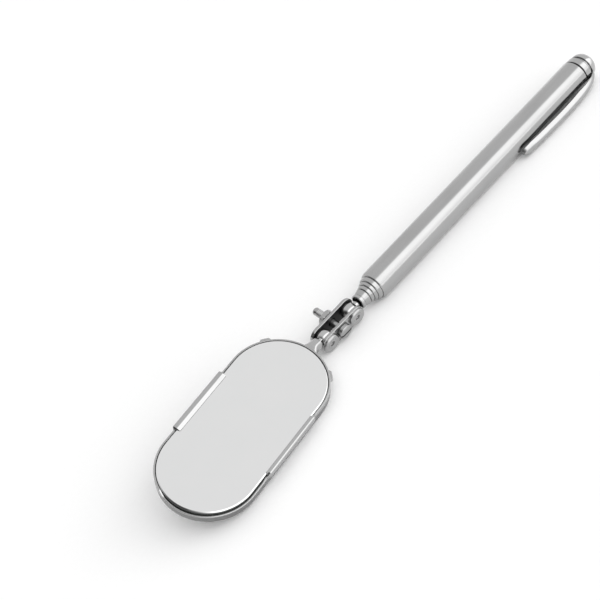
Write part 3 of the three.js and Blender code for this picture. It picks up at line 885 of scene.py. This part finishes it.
def make_glass():
    """The glass: silver face up, its ground bevel silver too, edge and back dark."""
    rings = []
    for z, radius in (
        (-GLASS_THICKNESS, GLASS_RADIUS - GLASS_BACK_BEVEL),
        (-GLASS_THICKNESS + GLASS_BACK_BEVEL, GLASS_RADIUS),
        (-GLASS_BEVEL, GLASS_RADIUS),
        (-0.05, GLASS_RADIUS - GLASS_BEVEL + 0.04),
        (0.0, GLASS_RADIUS - GLASS_BEVEL - 0.03),
    ):
        rings.append([(p.x, p.y, z) for p, _ in stadium(radius)])
    bm = bmesh.new()
    sweep(bm, rings, close_rings=False, cap=True)
    bmesh.ops.recalc_face_normals(bm, faces=bm.faces)
    for face in bm.faces:
        face.material_index = 0 if face.calc_center_median().z > -GLASS_BEVEL * 0.98 else 1
    looks = [mirror_silver, glass_edge]
    finish_mesh("mirror_glass_fine", bm, GLASS, "mirror_head", looks, ("mirror_glass",), "mirror", sharp=20)


def smooth_step(value):
    t = min(max(value, 0.0), 1.0)
    return t * t * (3 - 2 * t)


def flange_amount(point, out):
    """How far the rim is folded over here, 0 to 1, and how far that flange reaches over the glass."""
    if abs(out.y) < 0.999:
        return 0.0, 0.0
    start, end, reach = LEFT_FLANGE if out.y > 0 else RIGHT_FLANGE
    inside = min(point.x - start, end - point.x)
    return smooth_step(inside / FLANGE_EASE), reach


def rim_drop(point):
    """How far the rim lies below the glass: it dips towards the outer end."""
    angle = math.radians(LOW_RIM_ANGLE)
    along = -(point.x * math.cos(angle) + point.y * math.sin(angle))
    return RIM_DROP + (LOW_RIM_DROP - RIM_DROP) * smooth_step((along - LOW_RIM_FROM + 1.0) / 2.0)


def rim_profile(amount, reach, drop):
    """The tray wall's section as (outward from the glass edge, height), the same count everywhere."""
    inner = TRAY_GAP
    outer = TRAY_GAP + TRAY_WALL
    bottom = -TRAY_DEPTH
    face = outer + FLANGE_BULGE * amount
    top = -drop + (FLANGE_TOP + drop) * amount
    lip = outer - 0.24 + (FLANGE_BULGE - reach + 0.24) * amount
    inside = inner + (lip - inner) * amount
    under = top - 0.12 - 0.23 * amount
    round_over = 0.14 + 0.4 * amount
    points = [(-FLOOR_INSET, bottom), (outer - 0.55, bottom)]
    for i in range(1, 5):
        angle = i / 4 * math.pi / 2
        points.append((outer - 0.55 + 0.5 * math.sin(angle), bottom + 0.4 * (1 - math.cos(angle))))
    points += [
        (outer, -LOW_RIM_DROP - 1.3),
        (outer, -LOW_RIM_DROP - 0.9 * amount - 0.3),
        (outer + 0.3 * FLANGE_BULGE * amount, -LOW_RIM_DROP - 0.55 * amount - 0.25),
        (face - 0.06 * amount, -LOW_RIM_DROP - 0.2),
    ]
    for i in range(7):
        angle = i / 6 * math.pi / 2
        outward = face - round_over * (1 - math.cos(angle))
        points.append((outward, top - round_over * (1 - math.sin(angle))))
    slope = 0.4 * reach * amount
    fall = 0.32 * amount
    points += [
        (inside + slope + 0.06, top),
        (inside + slope, top - 0.02 * amount),
        (inside + 0.06, top - fall),
        (inside, top - fall - 0.04),
        (inside + 0.02, under),
        (inner, under - 0.02),
        (inner, under - 0.3),
        (inner, bottom + TRAY_FLOOR + 0.3),
        (inner - 0.3, bottom + TRAY_FLOOR),
        (-FLOOR_INSET, bottom + TRAY_FLOOR),
    ]
    return points


def make_tray():
    """The pressed tray: its wall goes round the glass, and two flat faces close its floor."""
    bm = bmesh.new()
    rings = []
    for centre, out in stadium(0.0):
        amount, reach = flange_amount(centre, out)
        edge = centre + out * GLASS_RADIUS
        ring = []
        for outward, z in rim_profile(amount, reach, rim_drop(edge)):
            ring.append(bm.verts.new((*(edge + out * outward), z)))
        rings.append(ring)
    count = len(rings)
    for i in range(count):
        near, far = rings[i], rings[(i + 1) % count]
        for k in range(len(near) - 1):
            bm.faces.new((near[k], near[k + 1], far[k + 1], far[k]))
    bm.faces.new([ring[0] for ring in rings])
    bm.faces.new([ring[-1] for ring in reversed(rings)])
    bmesh.ops.recalc_face_normals(bm, faces=bm.faces)
    for face in bm.faces:
        middle = face.calc_center_median()
        out = math.hypot(max(abs(middle.x) - GLASS_STRAIGHT, 0), middle.y)
        # the outer wall below the rim takes the darker copy of the tray steel: painted shade
        wall = out > TRAY_OUTER - 0.2 and middle.z < -LOW_RIM_DROP - 0.24
        face.material_index = 1 if wall else 0
    looks = [tray_steel, shaded_tray_wall_steel]
    replaced = ("mirror_tray",)
    finish_mesh("mirror_tray_fine", bm, GLASS, "mirror_head", looks, replaced, "brushed_steel", sharp=50)


def make_neck():
    """The neck, rolled round the stem and flaring into the tray's end wall."""
    rings = []
    steps = 26
    for i in range(steps + 1):
        t = i / steps
        x = -(NECK_START + (NECK_LENGTH + 0.5 - NECK_START) * t)
        flare = smooth_step((t - 0.35) / 0.65)
        half = NECK_RADIUS + (NECK_ROOT - NECK_RADIUS) * flare**1.4
        tall = NECK_RADIUS * (1 - 0.28 * flare)
        lead = 0.12 if i == 0 else 0.0
        ring = []
        for k in range(48):
            angle = 2 * math.pi * k / 48
            crease = 1 - 0.05 * math.exp(-((abs(math.sin(angle)) - 1) ** 2) / 0.004)
            y = (half - lead) * math.cos(angle)
            z = (tall - lead) * math.sin(angle) * crease
            ring.append((x, y, z))
        rings.append(ring)
    bm = bmesh.new()
    sweep(bm, rings, close_rings=False, cap=True)
    bmesh.ops.recalc_face_normals(bm, faces=bm.faces)
    bore_end = -(NECK_START + NECK_BORE_DEPTH)
    bore = turned_solid([(bore_end, 0), (bore_end, NECK_BORE), (0, NECK_BORE), (0, 0)], 0.0, 48)
    bmesh.ops.recalc_face_normals(bore, faces=bore.faces)
    bm = combined("neck", bm, [], [bore])
    finish_mesh("mirror_neck_fine", bm, STEM, "mirror_head", tray_steel, (), "brushed_steel", sharp=35)


def make_lugs():
    """The two small lugs pressed out of the rim's near end."""
    for side, label in ((1, "left"), (-1, "right")):
        rings = []
        for i in range(13):
            angle = math.radians(LUG_ANGLE * side + LUG_SPAN * (i / 12 - 0.5))
            edge = min(i, 12 - i) / 2.0
            reach = TRAY_OUTER + LUG_REACH * smooth_step(edge)
            root = TRAY_OUTER - LUG_ROOT
            top = [(root, -0.25), (reach - 0.08, -0.2)]
            section = top + [(reach, -0.32), (reach - 0.04, -1.4), (root, -1.55)]
            out = Vector((math.cos(angle), math.sin(angle)))
            rings.append([(GLASS_STRAIGHT + out.x * r, out.y * r, z) for r, z in section])
        bm = bmesh.new()
        sweep(bm, rings, close_rings=False, cap=True)
        finish_mesh(f"tray_lug_{label}", bm, GLASS, "mirror_head", tray_steel, (), "brushed_steel", sharp=35)


# ------------------------------------------------------------------ inner pieces keep their CAD shape


def turned_alloy(name, low, high):
    """The turned steel's marks on a metal of another colour."""
    metal = drawn_steel(name, TOOL, 0.6, 0.28, ROUND, 0.0015)
    mix = metal.node_tree.nodes["Principled BSDF"].inputs["Base Color"].links[0].from_node
    mix.inputs["A"].default_value = (*low, 1)
    mix.inputs["B"].default_value = (*high, 1)
    return metal


def dress_inner_pieces():
    brass = turned_alloy("turned_brass", (0.46, 0.31, 0.1), (0.52, 0.36, 0.13))
    bronze = turned_alloy("spring_bronze", (0.4, 0.22, 0.08), (0.46, 0.27, 0.1))
    card = Look("grey_card").set(Metallic=0.0)
    fibres = card.noise(card.mapped((3, 3, 3), HEAD), detail=5)
    card.colour(fibres, (0.035, 0.034, 0.033), (0.05, 0.049, 0.047))
    card.rough(fibres, 0.8, 0.95)
    card.bump(fibres, 0.02)
    for name, node in frame["nodes"].items():
        if name.startswith("stop_bush") or name == "cap_plug_sleeve":
            material = brass
        elif name.startswith("friction_spring"):
            material = bronze
        elif name == "backing_card":
            material = card.material
        else:
            continue
        node.data.materials.clear()
        node.data.materials.append(material)
        node.data.shade_smooth()
        node.data.set_sharp_from_angle(angle=math.radians(35))


# ------------------------------------------------------------------ stage, lights, camera


def make_stage():
    bpy.ops.mesh.primitive_plane_add(size=6, location=(0, 0, 0))
    floor = bpy.context.object
    floor.name = "studio_floor"
    look = Look("white_paper").set(Metallic=0.0)
    grain = look.noise(look.mapped((900, 900, 900)), detail=2)
    look.colour(grain, (0.97, 0.97, 0.97), (0.985, 0.985, 0.985))
    look.rough(grain, 0.9, 1.0)
    floor.data.materials.append(look.material)


def make_camera():
    """The photograph's camera: in the tool frame, turned with the tool onto its resting side."""
    turn = TOOL.to_3x3().normalized()
    right, down, forward = (turn @ Vector(axis) for axis in (CAMERA_RIGHT, CAMERA_DOWN, CAMERA_FORWARD))
    axes = Matrix((right, -down, -forward)).transposed()
    camera = bpy.data.cameras.new("camera")
    camera.sensor_width = SENSOR
    camera.lens = LENS
    camera.clip_start = 0.01
    holder = bpy.data.objects.new("camera", camera)
    bpy.context.scene.collection.objects.link(holder)
    holder.matrix_world = Matrix.Translation(TOOL @ Vector(CAMERA_PLACE)) @ axes.to_4x4()
    bpy.context.scene.camera = holder


def make_world():
    """An even studio with one long softbox on the camera's side, dark beyond the mirror's end."""
    world = bpy.data.worlds.new("studio")
    bpy.context.scene.world = world
    world.use_nodes = True
    nodes = world.node_tree.nodes
    links = world.node_tree.links
    direction = nodes.new("ShaderNodeSeparateXYZ")
    links.new(nodes.new("ShaderNodeTexCoord").outputs["Generated"], direction.inputs["Vector"])
    angle = nodes.new("ShaderNodeMath")
    angle.operation = "ARCTAN2"
    links.new(direction.outputs["Z"], angle.inputs[0])
    links.new(direction.outputs["Y"], angle.inputs[1])
    turn = nodes.new("ShaderNodeMapRange")
    turn.inputs["From Max"].default_value = math.pi
    links.new(angle.outputs["Value"], turn.inputs["Value"])
    ramp = nodes.new("ShaderNodeValToRGB")
    links.new(turn.outputs["Result"], ramp.inputs["Fac"])
    stops = ramp.color_ramp.elements
    for i, (degrees, level) in enumerate(STUDIO_LEVELS):
        stop = stops[i] if i < 1 else stops.new(degrees / 180)
        stop.position = degrees / 180
        stop.color = (level / SOFTBOX, level / SOFTBOX, level / SOFTBOX, 1)
    dark = nodes.new("ShaderNodeMapRange")
    dark.interpolation_type = "SMOOTHSTEP"
    dark.inputs["From Min"].default_value = DARK_END[0]
    dark.inputs["From Max"].default_value = DARK_END[1]
    dark.inputs["To Min"].default_value = DARK_LEVEL
    links.new(direction.outputs["X"], dark.inputs["Value"])
    shade = nodes.new("ShaderNodeVectorMath")
    shade.operation = "SCALE"
    links.new(ramp.outputs["Color"], shade.inputs["Vector"])
    links.new(dark.outputs["Result"], shade.inputs["Scale"])
    background = nodes["Background"]
    links.new(shade.outputs["Vector"], background.inputs["Color"])
    background.inputs["Strength"].default_value = SOFTBOX
    bpy.context.scene.view_settings.view_transform = "Standard"


make_tubes()
make_ferrule()
make_tip_ring()
make_cap_rings()
make_end_cap()
make_clip()
stud(SHAFT_BALL, "shaft_ball_fine", "shaft_ball", "shaft_ball_stud", SHAFT_PIN_END)
make_plates()
make_screw()
make_nut()
make_lock_washer()
stud(MIRROR_BALL, "mirror_ball_fine", "mirror_ball", "mirror_ball_stud", MIRROR_PIN_END)
make_glass()
make_tray()
make_neck()
make_lugs()
dress_inner_pieces()
make_stage()
make_world()
make_camera()
